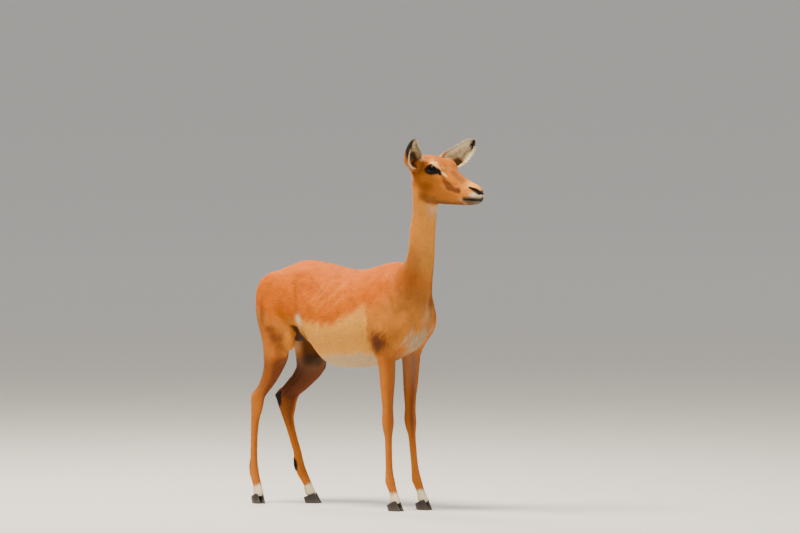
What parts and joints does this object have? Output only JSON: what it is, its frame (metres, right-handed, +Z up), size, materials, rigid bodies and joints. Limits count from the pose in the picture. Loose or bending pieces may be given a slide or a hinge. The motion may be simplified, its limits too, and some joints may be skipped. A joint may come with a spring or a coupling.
{
  "type": "impala antelope",
  "caption": "life-size still model of a hornless impala ewe standing alert with head up and ears forward",
  "frame": {"origin": "middle of the animal's box at floor level, under the belly", "axes": "+X towards the head, +Y to the animal's left, +Z up"},
  "size_m": [1.0054, 0.3111, 1.2509],
  "materials": {
    "saddle": null,
    "fawn": null,
    "eye": null,
    "horn": null
  },
  "bodies": {
    "root": {"ear_left": "saddle", "ear_right": "saddle", "eye_left": "eye", "eye_right": "eye", "head": "saddle", "hoof_fore_left_inner": "horn", "hoof_fore_left_outer": "horn", "hoof_fore_right_inner": "horn", "hoof_fore_right_outer": "horn", "hoof_hind_left_inner": "horn", "hoof_hind_left_outer": "horn", "hoof_hind_right_inner": "horn", "hoof_hind_right_outer": "horn", "leg_fore_left": "fawn", "leg_fore_right": "fawn", "leg_hind_left": "fawn", "leg_hind_right": "fawn", "neck": "saddle", "tail": "saddle", "trunk": "saddle"}
  },
  "joints": []
}
